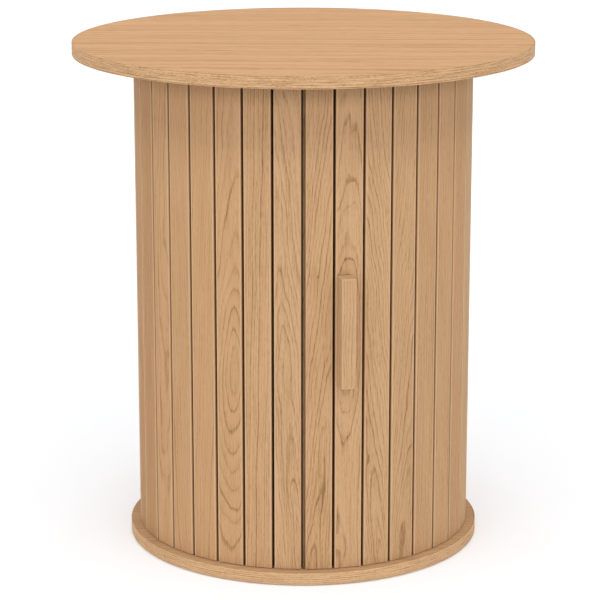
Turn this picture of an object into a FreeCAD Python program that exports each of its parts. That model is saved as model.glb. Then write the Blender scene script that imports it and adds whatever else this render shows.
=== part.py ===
import FreeCAD, Part
import os

import Sketcher

# Round side table: a slatted oak column between a round top and a round base.
# A third of the column is a tambour door. Its slats are glued to a canvas, and the tongues at
# their ends run in a circular groove in the base plate and in the tabletop.
# Millimetres, +Z up, origin on the floor at the middle of the base, front towards -Y.
# An angle round the column is measured from the front towards +X, which is the way the door opens.

# Lengths that can be set by themselves, in millimetres.
LENGTHS = {
    "total_height": 500.0,
    "tabletop_diameter": 450.0,
    "tabletop_thickness": 12.0,
    "base_diameter": 350.0,
    "base_thickness": 12.0,
    "edge_band_thickness": 1.0,
    "edge_band_chamfer": 0.4,
    "glue_gap": 0.1,
    "felt_pad_thickness": 1.0,
    "felt_pad_diameter": 20.0,
    "felt_pad_circle_diameter": 300.0,
    "column_across_flats": 331.0,
    "slat_thickness": 8.0,
    "slat_gap": 2.76,
    "slat_end_gap": 0.6,
    "slat_edge_round": 0.8,
    "seam_trim": 0.4,
    "tongue_width": 14.0,
    "tongue_thickness": 4.0,
    "tongue_back_rebate": 1.0,
    "tongue_floor_gap": 0.3,
    "tongue_roof_gap": 1.0,
    "groove_depth": 6.0,
    "groove_side_clearance": 0.45,
    "canvas_thickness": 0.8,
    "canvas_running_gap": 0.5,
    "canvas_end_inset": 3.0,
    "shell_thickness": 6.0,
    "shell_glue_gap": 0.2,
    "lipping_width": 3.0,
    "cabinet_floor_thickness": 12.0,
    "cabinet_ceiling_thickness": 12.0,
    "post_width": 16.0,
    "lower_compartment_height": 220.0,
    "shelf_thickness": 12.0,
    "shelf_side_gap": 1.0,
    "shelf_notch_gap": 0.5,
    "shelf_pin_diameter": 5.0,
    "shelf_pin_post_seat": 8.0,
    "shelf_pin_shell_seat": 4.0,
    "shelf_pin_reach": 9.0,
    "shelf_pin_gap": 0.1,
    "handle_width": 14.0,
    "handle_depth": 18.0,
    "handle_length": 106.0,
    "handle_centre_height": 250.0,
    "handle_offset": 4.8,
    "handle_edge_round": 1.0,
    "handle_screw_spacing": 64.0,
    "screw_diameter": 3.5,
    "screw_head_diameter": 7.0,
    "screw_clearance": 0.1,
    "screw_tip_gap": 0.5,
    "tabletop_screw_length": 20.0,
    "tabletop_screw_circle_diameter": 200.0,
    "lower_post_screw_length": 45.0,
    "upper_post_screw_length": 35.0,
    "handle_screw_length": 20.0,
    "stop_pin_diameter": 4.0,
    "stop_pin_seat_depth": 3.0,
    "stop_pin_gap": 0.3,
    "stop_pin_top_gap": 1.0,
    "pin_hole_clearance": 0.05,
}

# Angles round the column, in degrees, and the number of slat places in a full turn.
ANGLES = {
    "slat_places": 36.0,
    "door_travel": 118.5,
    "shell_seam_lap": 3.0,
    "shell_rear_lap": 3.0,
    "backing_seam_inset": 0.2,
    "canvas_edge_inset": 1.5,
    "front_post_angle": 355.0,
    "rear_post_angle": 125.0,
    "shell_pin_angle": 240.0,
    "tabletop_screw_angle": 60.0,
    "felt_pad_angle": 45.0,
}

# How many of each; the rest of the circle behind the door slats is plain veneered shell.
COUNTS = {
    "door_slats": 12,
    "fixed_slats": 12,
    "slats_before_handle": 1,
    "tabletop_screws": 3,
    "felt_pads": 4,
}

doc = FreeCAD.newDocument("round_side_table")
sheet = doc.addObject("Spreadsheet::Sheet", "Sizes")
for row, (alias, number) in enumerate({**LENGTHS, **ANGLES}.items(), start=1):
    sheet.set(f"A{row}", alias)
    sheet.set(f"B{row}", str(number))
    sheet.setAlias(f"B{row}", alias)
doc.recompute()


class Size:
    """A size as a sheet expression, so that sums of sizes stay bound to the sheet's cells."""

    def __init__(self, text):
        self.text = str(text)

    def __add__(self, other):
        return Size(f"({self.text} + {Size.of(other)})")

    def __sub__(self, other):
        return Size(f"({self.text} - {Size.of(other)})")

    def __mul__(self, other):
        return Size(f"({self.text} * {Size.of(other)})")

    def __truediv__(self, other):
        return Size(f"({self.text} / {Size.of(other)})")

    def __neg__(self):
        return Size(f"(-{self.text})")

    def __rmul__(self, other):
        return self * other

    def __rtruediv__(self, other):
        return Size(f"({Size.of(other)} / {self.text})")

    @staticmethod
    def of(other):
        return other.text if isinstance(other, Size) else str(other)

    def value(self):
        """The size's number now, as the sheet works it out."""
        found = sheet.evalExpression(self.text)
        return float(getattr(found, "Value", found))


def maths(name, *sizes):
    """A function of the expression language, such as sin or sqrt, of one size or more."""
    return Size(f"{name}({'; '.join(Size.of(one) for one in sizes)})")


class Named:
    """The sheet's cells by their names."""

    def __getattr__(self, alias):
        if alias not in LENGTHS and alias not in ANGLES:
            raise AttributeError(alias)
        return Size(f"Sizes.{alias}")


s = Named()

# Heights of the horizontal faces.
base_bottom = s.felt_pad_thickness
base_top = base_bottom + s.base_thickness
tabletop_bottom = s.total_height - s.tabletop_thickness
floor_top = base_top + s.cabinet_floor_thickness
ceiling_bottom = tabletop_bottom - s.cabinet_ceiling_thickness
shelf_bottom = floor_top + s.lower_compartment_height
groove_floor = base_top - s.groove_depth
groove_roof = tabletop_bottom + s.groove_depth

# Slats: flats of a regular polygon round the column, each slat as wide as a flat less the gap.
pitch = 360 / s.slat_places
slat_face = s.column_across_flats / 2
slat_back = slat_face - s.slat_thickness
slat_width = 2 * slat_face * maths("tan", pitch / 2) - s.slat_gap
slat_bottom = base_top + s.slat_end_gap
slat_top = tabletop_bottom - s.slat_end_gap
tongue_back = slat_back + s.tongue_back_rebate
tongue_face = tongue_back + s.tongue_thickness
tongue_middle = tongue_back + s.tongue_thickness / 2
tongue_bottom = groove_floor + s.tongue_floor_gap
tongue_top = groove_roof - s.tongue_roof_gap
tongue_corner = maths("sqrt", tongue_face * tongue_face + s.tongue_width * s.tongue_width / 4)
groove_inner = tongue_back - s.groove_side_clearance
groove_outer = tongue_corner + s.groove_side_clearance

# Inside the slats: canvas with its running gap, then the bent shell, then the round boards.
canvas_back = slat_back - s.canvas_thickness
shell_outer = canvas_back - s.canvas_running_gap
shell_inner = shell_outer - s.shell_thickness
board_radius = shell_inner - s.shell_glue_gap
door_end = pitch * COUNTS["door_slats"]
fixed_start = Size(360) - pitch * COUNTS["fixed_slats"]
shell_start = door_end - s.shell_rear_lap
shell_end = Size(360) + s.shell_seam_lap
lipping_angle = s.lipping_width / shell_outer * Size("180 / pi")

# Posts stand inside the shell with their outer corners at the edge of the boards.
half_post = s.post_width / 2
post_middle = maths("sqrt", board_radius * board_radius - half_post * half_post) - half_post
post_angles = {
    "front_post": s.front_post_angle,
    "rear_post": s.rear_post_angle,
}
shelf_radius = board_radius - s.shelf_side_gap - s.edge_band_thickness
shelf_notch = post_middle - half_post - s.shelf_notch_gap


def bind(thing, **sizes):
    """Ties properties to sizes; two underscores in a property's name stand for a dot."""
    for name, one in sizes.items():
        thing.setExpression(name.replace("__", "."), Size.of(one))
    return thing


def around(across, outwards, angle):
    """The plan position of a point given on the front line, once turned round the column."""
    sine, cosine = maths("sin", angle), maths("cos", angle)
    return (across * cosine + outwards * sine, across * sine - outwards * cosine)


def body(name):
    made = doc.addObject("PartDesign::Body", name)
    made.Label = name
    return made


def sketch(owner, name, role, height):
    """A sketch on one of the body's own planes, moved along the plane's normal by a size."""
    made = owner.newObject("Sketcher::SketchObject", f"{owner.Name}_{name}_sketch")
    plane = next(one for one in owner.Origin.OriginFeatures if one.Role == role)
    made.AttachmentSupport = [(plane, "")]
    made.MapMode = "FlatFace"
    return bind(made, AttachmentOffset__Base__z=height)


def dimension(drawing, kind, one, *points):
    """A driving dimension bound to a size. The points are pairs of geometry and vertex."""
    index = drawing.addConstraint(Sketcher.Constraint(kind, *points, one.value()))
    drawing.setExpression(f"Constraints[{index}]", one.text)


def put(drawing, item, vertex, across, up):
    """Fixes a vertex at its place from the sketch's origin."""
    dimension(drawing, "DistanceX", across, -1, 1, item, vertex)
    dimension(drawing, "DistanceY", up, -1, 1, item, vertex)


def circle(drawing, radius, centre=None):
    """A circle round the sketch's origin or round a place."""
    across, up = centre or (Size(0), Size(0))
    middle = FreeCAD.Vector(across.value(), up.value(), 0)
    item = drawing.addGeometry(Part.Circle(middle, FreeCAD.Vector(0, 0, 1), radius.value()), False)
    if centre:
        put(drawing, item, 3, across, up)
    else:
        drawing.addConstraint(Sketcher.Constraint("Coincident", item, 3, -1, 1))
    dimension(drawing, "Radius", radius, item)


def rectangle(drawing, left, right, low, high):
    """An upright rectangle between four sizes."""
    corners = [(left, low), (right, low), (right, high), (left, high)]
    spots = [FreeCAD.Vector(x.value(), y.value(), 0) for x, y in corners]
    sides = [drawing.addGeometry(Part.LineSegment(spots[n - 1], spots[n]), False) for n in range(4)]
    for n, side in enumerate(sides):
        drawing.addConstraint(Sketcher.Constraint("Coincident", side, 2, sides[(n + 1) % 4], 1))
    for n, kind in enumerate(("Vertical", "Horizontal", "Vertical", "Horizontal")):
        drawing.addConstraint(Sketcher.Constraint(kind, sides[n]))
    put(drawing, sides[1], 1, left, low)
    put(drawing, sides[2], 2, right, high)


def feature(owner, kind, name, profile, **settings):
    made = owner.newObject(f"PartDesign::{kind}", f"{owner.Name}_{name}")
    made.Profile = profile
    for setting, one in settings.items():
        if isinstance(one, Size):
            bind(made, **{setting: one})
        else:
            setattr(made, setting, one)
    profile.Visibility = False
    return made


def pad(owner, name, profile, length, **settings):
    return feature(owner, "Pad", name, profile, Length=length, **settings)


def pocket(owner, name, profile, depth, **settings):
    """A pocket that has to take material away."""
    doc.recompute()
    before = owner.Shape.Volume
    made = feature(owner, "Pocket", name, profile, Length=depth, **settings)
    doc.recompute()
    if not owner.Shape.Volume < before:
        raise RuntimeError(f"{made.Name} cuts nothing")
    return made


def ease_edges(owner, kind, one, wanted):
    """A Fillet or a Chamfer of one size on the edges of the body that a test picks."""
    doc.recompute()
    last = owner.Tip
    names = [f"Edge{n}" for n, edge in enumerate(last.Shape.Edges, start=1) if wanted(edge)]
    made = owner.newObject(f"PartDesign::{kind}", f"{owner.Name}_{kind}")
    made.Base = (last, names)
    return bind(made, **{"Radius" if kind == "Fillet" else "Size": one})


def drill(owner, name, role, height, centres, depth, upwards, countersunk):
    """Screw holes from one face: clearance round the screw and, where asked, a countersink."""
    drawing = sketch(owner, name, role, height)
    for centre in centres:
        circle(drawing, s.screw_diameter / 2, centre)
    doc.recompute()
    before = owner.Shape.Volume
    made = owner.newObject("PartDesign::Hole", f"{owner.Name}_{name}")
    made.Profile = drawing
    doc.recompute()
    made.Reversed = upwards
    made.Threaded = False
    made.ThreadType = "None"
    made.DrillPoint = "Flat"
    made.DepthType = "Dimension"
    if countersunk:
        made.HoleCutType = "Countersink"
        made.HoleCutCustomValues = True
        made.HoleCutCountersinkAngle = 90
        bind(made, HoleCutDiameter=s.screw_head_diameter + 2 * s.screw_clearance)
    bind(made, Diameter=s.screw_diameter + 2 * s.screw_clearance, Depth=depth)
    doc.recompute()
    if not owner.Shape.Volume < before:
        raise RuntimeError(f"{made.Name} cuts nothing")


def solid(kind, name, **sizes):
    """A Part primitive with its sizes bound."""
    return bind(doc.addObject(f"Part::{kind}", name), **sizes)


def stand(piece, x, y, z):
    """Puts a piece's own origin at a place."""
    return bind(piece, Placement__Base__x=x, Placement__Base__y=y, Placement__Base__z=z)


def sector(name, radius, low, high, start, sweep):
    """A slice of a cylinder from a start angle round the column."""
    made = solid("Cylinder", name, Radius=radius, Height=high - low, Angle=sweep)
    return bind(made, Placement__Base__z=low, Placement__Rotation__Angle=start - 90)


def drum(name, radius, low, high):
    return bind(solid("Cylinder", name, Radius=radius, Height=high - low), Placement__Base__z=low)


def polygon(name, across_half, low, high):
    """A prism whose flats are the slat places and stand at half the size across."""
    corner = across_half / maths("cos", pitch / 2)
    made = solid("Prism", name, Circumradius=corner, Height=high - low, Polygon=s.slat_places)
    return bind(made, Placement__Base__z=low)


def cut(name, base, tool):
    made = doc.addObject("Part::Cut", name)
    made.Base = base
    made.Tool = tool
    return made


def join(kind, name, shapes):
    """Several solids as one MultiFuse, one MultiCommon or one Compound of separate pieces."""
    made = doc.addObject(f"Part::{kind}", name)
    setattr(made, "Links" if kind == "Compound" else "Shapes", shapes)
    return made


def node(made, name):
    made.Label = name
    nodes.append(made)
    return made


nodes = []


def ring_of_places(diameter, first_angle, count):
    """Places in plan spaced evenly round a circle."""
    return [around(Size(0), diameter / 2, first_angle + 360 * n / count) for n in range(count)]


tabletop_screw_places = ring_of_places(
    s.tabletop_screw_circle_diameter, s.tabletop_screw_angle, COUNTS["tabletop_screws"]
)
felt_pad_places = ring_of_places(s.felt_pad_circle_diameter, s.felt_pad_angle, COUNTS["felt_pads"])
post_places = [around(Size(0), post_middle, angle) for angle in post_angles.values()]

# The handle's screws lie level, at its middle line; the shelf pins lie just under the shelf.
handle_angle = pitch * COUNTS["slats_before_handle"] + pitch / 2
handle_screw_places = [
    (-s.handle_offset, s.handle_centre_height + side * s.handle_screw_spacing / 2) for side in (-1, 1)
]
shelf_pin_height = shelf_bottom - s.shelf_pin_gap - s.shelf_pin_diameter / 2

# Stop pins stand in the lower groove, beside the end tongues of the closed and of the open door.
stop_reach = s.tongue_width / 2 + s.stop_pin_gap + s.stop_pin_diameter / 2
stop_places = [
    around(-stop_reach, tongue_middle, pitch / 2),
    around(stop_reach, tongue_middle, door_end - pitch / 2 + s.door_travel),
]


def board(name, radius, low, thickness):
    """A round board."""
    made = body(name)
    outline = sketch(made, "outline", "XY_Plane", low)
    circle(outline, radius)
    pad(made, "board", outline, thickness)
    return made


def groove(owner, face, upwards):
    """The circular groove in a board's face that the slats' tongues run in."""
    ring = sketch(owner, "groove", "XY_Plane", face)
    circle(ring, groove_inner)
    circle(ring, groove_outer)
    pocket(owner, "groove", ring, s.groove_depth, Reversed=upwards)


def edge_band(name, outside, low, thickness):
    """A thin strip round a board's edge, with its two outer corners eased."""
    made = body(name)
    ring = sketch(made, "ring", "XY_Plane", low)
    circle(ring, outside)
    circle(ring, outside - s.edge_band_thickness)
    pad(made, "strip", ring, thickness)
    reach = (outside - s.edge_band_thickness / 2).value()
    rim = lambda edge: edge.BoundBox.XMax > reach and len(edge.Vertexes) == 1
    ease_edges(made, "Chamfer", s.edge_band_chamfer, rim)
    return node(made, name)


def make_tabletop():
    edge = s.tabletop_diameter / 2
    inside = edge - s.edge_band_thickness - s.glue_gap
    top = board("tabletop", inside, tabletop_bottom, s.tabletop_thickness)
    groove(top, tabletop_bottom, True)
    depth = s.tabletop_screw_length - s.cabinet_ceiling_thickness + s.screw_tip_gap
    drill(top, "screw_holes", "XY_Plane", tabletop_bottom, tabletop_screw_places, depth, True, False)
    node(top, "tabletop")
    edge_band("tabletop_edge_band", edge, tabletop_bottom, s.tabletop_thickness)


def make_base_plate():
    edge = s.base_diameter / 2
    inside = edge - s.edge_band_thickness - s.glue_gap
    base = board("base_plate", inside, base_bottom, s.base_thickness)
    groove(base, base_top, False)
    seats = sketch(base, "stop_seats", "XY_Plane", groove_floor)
    for place in stop_places:
        circle(seats, s.stop_pin_diameter / 2 + s.pin_hole_clearance, place)
    pocket(base, "stop_seats", seats, s.stop_pin_seat_depth)
    drill(base, "screw_holes", "XY_Plane", base_bottom, post_places, s.base_thickness, True, True)
    node(base, "base_plate")
    edge_band("base_edge_band", edge, base_bottom, s.base_thickness)


def make_cabinet_boards():
    """The boards inside the shell: the cabinet's floor and its ceiling."""
    floor = board("cabinet_floor", board_radius, base_top, s.cabinet_floor_thickness)
    through = s.cabinet_floor_thickness
    drill(floor, "screw_holes", "XY_Plane", base_top, post_places, through, True, False)
    node(floor, "cabinet_floor")
    ceiling = board("cabinet_ceiling", board_radius, ceiling_bottom, s.cabinet_ceiling_thickness)
    through = s.cabinet_ceiling_thickness
    drill(ceiling, "top_holes", "XY_Plane", ceiling_bottom, tabletop_screw_places, through, True, True)
    drill(ceiling, "post_holes", "XY_Plane", tabletop_bottom, post_places, through, False, True)
    node(ceiling, "cabinet_ceiling")


def make_shell():
    """The bent plywood shell, its two lippings, and the dark backing of the fixed slats."""

    def layer(name, start, sweep):
        outside = sector(f"{name}_outside", shell_outer, base_top, tabletop_bottom, start, sweep)
        return cut(name, outside, drum(f"{name}_inside", shell_inner, base_top, tabletop_bottom))

    veneered = shell_end - shell_start - 2 * lipping_angle
    bent = layer("bent_plywood", shell_start + lipping_angle, veneered)
    seat = solid("Cylinder", "shell_pin_seat", Radius=s.shelf_pin_diameter / 2 + s.pin_hole_clearance)
    bind(seat, Height=s.shell_thickness)
    reach = shell_inner + s.shelf_pin_shell_seat + s.pin_hole_clearance - s.shell_thickness
    lie_outwards(seat, Size(0), reach, shelf_pin_height, s.shell_pin_angle)
    node(cut("curved_shell", bent, seat), "curved_shell")
    node(layer("shell_rear_lipping", shell_start, lipping_angle), "shell_rear_lipping")
    node(layer("shell_front_lipping", shell_end - lipping_angle, lipping_angle), "shell_front_lipping")

    backing_inner = shell_outer + s.shell_glue_gap
    sweep = Size(360) - fixed_start - s.backing_seam_inset
    ring = cut(
        "backing_ring",
        polygon("backing_flats", slat_back, base_top, tabletop_bottom),
        drum("backing_inside", backing_inner, base_top, tabletop_bottom),
    )
    slice_ = sector("backing_slice", slat_face, base_top, tabletop_bottom, fixed_start, sweep)
    node(join("MultiCommon", "fixed_backing", [ring, slice_]), "fixed_backing")


def make_door_canvas():
    """One sheet with a flat behind each door slat, short of the slats' ends."""
    low, high = slat_bottom + s.canvas_end_inset, slat_top - s.canvas_end_inset
    ring = cut(
        "canvas_ring",
        polygon("canvas_front", slat_back, low, high),
        polygon("canvas_behind", canvas_back, low, high),
    )
    inset = s.canvas_edge_inset
    slice_ = sector("canvas_slice", slat_face, low, high, inset, door_end - 2 * inset)
    node(join("MultiCommon", "door_canvas", [ring, slice_]), "door_canvas")


def make_slat(name, place, left_trim, right_trim, bored):
    """A slat with a tongue at each end, made on the front line and turned to its place."""
    made = body(name)
    tongue = sketch(made, "tongue", "XY_Plane", tongue_bottom)
    rectangle(tongue, -(s.tongue_width / 2), s.tongue_width / 2, -tongue_face, -tongue_back)
    pad(made, "tongue", tongue, tongue_top - tongue_bottom)
    section = sketch(made, "section", "XY_Plane", slat_bottom)
    half = slat_width / 2
    rectangle(section, left_trim - half, half - right_trim, -slat_face, -slat_back)
    pad(made, "slat", section, slat_top - slat_bottom)
    front = (s.slat_thickness / 2 - slat_face).value()
    upright = (slat_top - slat_bottom).value() / 2
    on_front = lambda edge: edge.BoundBox.YMax < front and edge.BoundBox.ZLength > upright
    ease_edges(made, "Fillet", s.slat_edge_round, on_front)
    if bored:
        depth = s.slat_thickness
        drill(made, "screw_holes", "XZ_Plane", slat_back, handle_screw_places, depth, True, True)
    bind(made, Placement__Rotation__Angle=pitch * (place + 0.5))
    return node(made, name)


def make_slats():
    """Both halves of the column; the two slats at the seam are planed a little narrower."""
    fixed = COUNTS["fixed_slats"]
    for n in range(1, fixed + 1):
        trim = s.seam_trim if n == fixed else Size(0)
        make_slat(f"fixed_slat_{n:02d}", s.slat_places - fixed + (n - 1), Size(0), trim, False)
    handle_slat = COUNTS["slats_before_handle"] + 1
    for n in range(1, COUNTS["door_slats"] + 1):
        trim = s.seam_trim if n == 1 else Size(0)
        make_slat(f"door_slat_{n:02d}", Size(n - 1), trim, Size(0), n == handle_slat)


def make_handle():
    made = body("handle")
    plan = sketch(made, "plan", "XY_Plane", s.handle_centre_height - s.handle_length / 2)
    left = -s.handle_offset - s.handle_width / 2
    front = -slat_face - s.handle_depth
    rectangle(plan, left, left + s.handle_width, front, -slat_face)
    pad(made, "bar", plan, s.handle_length)
    off_slat = (-slat_face - s.handle_edge_round).value()
    ease_edges(made, "Fillet", s.handle_edge_round, lambda edge: edge.BoundBox.YMin < off_slat)
    depth = s.handle_screw_length - s.slat_thickness + s.screw_tip_gap
    drill(made, "screw_holes", "XZ_Plane", slat_face, handle_screw_places, depth, True, False)
    bind(made, Placement__Rotation__Angle=handle_angle)
    node(made, "handle")


def make_posts():
    """Square posts with a screw hole in each end and a seat for the shelf pin."""
    boards = s.base_thickness + s.cabinet_floor_thickness
    low_depth = s.lower_post_screw_length - boards + s.screw_tip_gap
    high_depth = s.upper_post_screw_length - s.cabinet_ceiling_thickness + s.screw_tip_gap
    axis = [(Size(0), -post_middle)]
    for name, angle in post_angles.items():
        made = body(name)
        plan = sketch(made, "plan", "XY_Plane", floor_top)
        rectangle(plan, -half_post, half_post, -post_middle - half_post, half_post - post_middle)
        pad(made, "post", plan, ceiling_bottom - floor_top)
        drill(made, "lower_screw", "XY_Plane", floor_top, axis, low_depth, True, False)
        drill(made, "upper_screw", "XY_Plane", ceiling_bottom, axis, high_depth, False, False)
        seat = sketch(made, "pin_seat", "XZ_Plane", post_middle - half_post)
        circle(seat, s.shelf_pin_diameter / 2 + s.pin_hole_clearance, (Size(0), shelf_pin_height))
        pocket(made, "pin_seat", seat, s.shelf_pin_post_seat + s.pin_hole_clearance, Reversed=True)
        bind(made, Placement__Rotation__Angle=angle)
        node(made, name)


def make_shelf():
    """The loose shelf: a round board notched at the posts, with a strip round its edge."""
    high = shelf_bottom + s.shelf_thickness
    width = s.post_width + 2 * s.shelf_notch_gap

    def notches(name):
        made = []
        for post, angle in post_angles.items():
            reach = board_radius - shelf_notch
            notch = solid("Box", f"{name}_{post}", Length=reach, Width=width, Height=s.shelf_thickness)
            across, along = around(width / 2, board_radius, angle)
            stand(notch, across, along, shelf_bottom)
            bind(notch, Placement__Rotation__Angle=angle + 90)
            made.append(notch)
        return join("MultiFuse", name, made)

    disc = drum("shelf_disc", shelf_radius - s.glue_gap, shelf_bottom, high)
    node(cut("shelf", disc, notches("shelf_notches")), "shelf")
    outside = drum("shelf_strip_outside", shelf_radius + s.edge_band_thickness, shelf_bottom, high)
    strip = cut("shelf_strip", outside, drum("shelf_strip_inside", shelf_radius, shelf_bottom, high))
    node(cut("shelf_edge_band", strip, notches("strip_notches")), "shelf_edge_band")


def make_shelf_pins():
    """A pin in each post and one in the back of the shell, which the shelf lies on."""
    post_face = post_middle - half_post
    seats = [(angle, post_face, s.shelf_pin_post_seat) for angle in post_angles.values()]
    seats.append((s.shell_pin_angle, shell_inner, s.shelf_pin_shell_seat))
    pins = []
    for n, (angle, face, seat) in enumerate(seats, start=1):
        pin = solid("Cylinder", f"shelf_pin_{n}", Radius=s.shelf_pin_diameter / 2)
        bind(pin, Height=seat + s.shelf_pin_reach)
        lie_outwards(pin, Size(0), face - s.shelf_pin_reach, shelf_pin_height, angle)
        pins.append(pin)
    node(join("Compound", "shelf_pins", pins), "shelf_pins")


def lie_outwards(piece, across, outwards, height, angle):
    """Lays an upright piece down, pointing away from the column's axis, at an angle round it."""
    stand(piece, *around(across, outwards, angle), height)
    yaw = FreeCAD.Rotation(FreeCAD.Vector(0, 0, 1), angle.value())
    piece.Placement.Rotation = yaw * FreeCAD.Rotation(FreeCAD.Vector(1, 0, 0), 90)


def screw(name, length):
    """A countersunk screw, head down."""
    head = s.screw_head_diameter / 2
    shank = s.screw_diameter / 2
    cone = solid("Cone", f"{name}_head", Radius1=head, Radius2=shank, Height=head - shank)
    bar = solid("Cylinder", f"{name}_shank", Radius=shank, Height=length)
    return join("MultiFuse", name, [cone, bar])


def upright_screws(name, places, height, length, upwards):
    """A group of like screws, driven up or down at their places in plan."""
    screws = []
    for n, (x, y) in enumerate(places, start=1):
        made = stand(screw(f"{name}_{n}", length), x, y, height)
        if not upwards:
            made.Placement.Rotation = FreeCAD.Rotation(FreeCAD.Vector(1, 0, 0), 180)
        screws.append(made)
    node(join("Compound", name, screws), name)


def make_screws():
    top_length = s.tabletop_screw_length
    upright_screws("tabletop_screws", tabletop_screw_places, ceiling_bottom, top_length, True)
    upright_screws("lower_post_screws", post_places, base_bottom, s.lower_post_screw_length, True)
    upright_screws("upper_post_screws", post_places, tabletop_bottom, s.upper_post_screw_length, False)
    screws = []
    for n, (across, height) in enumerate(handle_screw_places, start=1):
        made = screw(f"handle_screw_{n}", s.handle_screw_length)
        lie_outwards(made, across, slat_back, height, handle_angle)
        screws.append(made)
    node(join("Compound", "handle_screws", screws), "handle_screws")


def make_groove_stops():
    """The two pins in the lower groove that end the door's travel."""
    length = s.groove_depth + s.stop_pin_seat_depth - s.stop_pin_top_gap
    pins = []
    for end, (x, y) in zip(("closed", "open"), stop_places):
        pin = solid("Cylinder", f"{end}_stop", Radius=s.stop_pin_diameter / 2, Height=length)
        pins.append(stand(pin, x, y, groove_floor - s.stop_pin_seat_depth))
    node(join("Compound", "groove_stops", pins), "groove_stops")


def make_felt_pads():
    """Felt discs stuck under the base plate, which the table stands on."""
    pads = []
    for n, (x, y) in enumerate(felt_pad_places, start=1):
        pad_disc = solid("Cylinder", f"felt_pad_{n}", Radius=s.felt_pad_diameter / 2)
        bind(pad_disc, Height=s.felt_pad_thickness)
        pads.append(stand(pad_disc, x, y, Size(0)))
    node(join("Compound", "felt_pads", pads), "felt_pads")


make_tabletop()
make_base_plate()
make_cabinet_boards()
make_shell()
make_door_canvas()
make_slats()
make_handle()
make_posts()
make_shelf()
make_shelf_pins()
make_screws()
make_groove_stops()
make_felt_pads()
doc.recompute()

for thing in doc.Objects:
    if "Invalid" in thing.State or "Error" in thing.State:
        raise RuntimeError(f"{thing.Name} failed: {thing.State}")
for made in nodes:
    if made.Shape.isNull() or not made.Shape.isValid():
        raise RuntimeError(f"{made.Label} has no valid shape")

os.makedirs("parts", exist_ok=True)
for made in nodes:
    made.Shape.exportStep(f"parts/{made.Label}.step")
    print(made.Label, len(made.Shape.Solids), "solids", round(made.Shape.Volume, 1), "mm3")
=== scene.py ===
import math

import bmesh
import bpy
import numpy as np
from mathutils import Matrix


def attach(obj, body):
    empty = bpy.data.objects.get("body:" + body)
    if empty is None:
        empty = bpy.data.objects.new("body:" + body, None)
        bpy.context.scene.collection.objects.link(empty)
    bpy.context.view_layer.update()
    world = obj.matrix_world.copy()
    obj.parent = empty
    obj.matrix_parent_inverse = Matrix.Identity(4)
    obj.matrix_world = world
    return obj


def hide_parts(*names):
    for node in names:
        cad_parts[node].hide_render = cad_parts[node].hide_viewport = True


# Looks of the round oak side table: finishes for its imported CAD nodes, finer surfaces for the
# pieces that show most, the white studio it stands in, and the camera.
# Metres in Blender, +Z up, front towards -Y. The sizes below are millimetres, as in the CAD.
# An angle round the column is measured in degrees from the front towards +X, so a place is
# (r sin a, -r cos a).

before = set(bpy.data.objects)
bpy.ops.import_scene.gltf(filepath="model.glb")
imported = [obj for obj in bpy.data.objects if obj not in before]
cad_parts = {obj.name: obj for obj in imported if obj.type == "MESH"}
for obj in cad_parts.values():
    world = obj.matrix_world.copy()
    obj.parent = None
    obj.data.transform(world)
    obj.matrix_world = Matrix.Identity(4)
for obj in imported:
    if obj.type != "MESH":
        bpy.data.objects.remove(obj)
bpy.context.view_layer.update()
MM = 0.001


# Sizes. A FACE or BACK is a distance from the column's axis, a HALF is half a width, an ARC or
# ANGLE is in degrees, and LEVELS and ENDS are heights. The two slats beside the seam are 0.4 mm
# narrower in the CAD, and 0.85 mm here, which gives the seam the width it has in the photograph.
# A pin is given by its radius, its length and how far from the axis it starts.

SLAT_PITCH = 10.0
SLAT_BOUNDS = np.arange(0, 361, SLAT_PITCH)
FIXED_START = 240
SLAT_FACE = 165.5
SLAT_BACK = 157.5
SLAT_HALF = 13.1
SLAT_ENDS = (13.6, 487.4)
SEAM_TRIM = 0.85
TONGUE_FACE = 162.5
TONGUE_BACK = 158.5
TONGUE_HALF = 7
TONGUE_ENDS = (7.3, 493.0)
SLATS = range(1, 13)

TOP_RADIUS = 225
TOP_CORE_RADIUS = 223.9
BASE_RADIUS = 175
EDGE_BAND = 1
BASE_LEVELS = (1, 13)
TOP_LEVELS = (488, 500)
GROOVE_RADII = (158.05, 163.1)
GROOVE_LEVEL = 494
# Below this level the tabletop's underside is darkened as painted shade.
UNDERSIDE_SHADE_LEVEL = 497

SHELL_RADII = (150.2, 156.2)
SHELL_ARC = (117.0, 363.0)
LIPPING_ARC = 1.1005
VENEER_RADIUS = 156
SHELL_LEAVES = 8

FRONT_POST = 355
REAR_POST = 125
POST_FACE = 149.8
POST_MIDDLE = 141.8
POST_BACK = 133.8
POST_HALF = 8
CEILING_UNDER = 476
POST_LEVELS = (25, CEILING_UNDER)

SHELF_LEVELS = (245, 257)
SHELF_RADIUS = 147.9
SHELF_BAND_RADII = (148, 149)
NOTCH_HALF = 8.5
NOTCH_BACK = 133.3

HANDLE_ANGLE = 15
HANDLE_ACROSS = -4.8
HANDLE_HALF = 7
HANDLE_FACE = 183.5
HANDLE_MIDDLE = 250
HANDLE_HALF_LENGTH = 53

CANVAS_RADII = (156.7, 157.5)
CANVAS_LEVELS = (16.6, 484.4)
CANVAS_ARC = (1.5, 118.5)
THREAD = 0.9

SCREW_PITCH = 1.5
TOP_SCREW_RADIUS = 100
TOP_SCREW_ANGLES = (60, 180, 300)
HANDLE_SCREW_LEVELS = (218, 282)
PIN_LEVEL = 242.4
POST_PIN = (2.5, 17, 124.8)
SHELL_PIN = (2.5, 13, 141.2)
SHELL_PIN_ANGLE = 240
STOP_LEVEL = 4
STOP_PLACES = ((4.72, -160.7), (-134.55, 87.99))
PAD_PLACES = (-106.07, 106.07)


# Finishes


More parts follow.
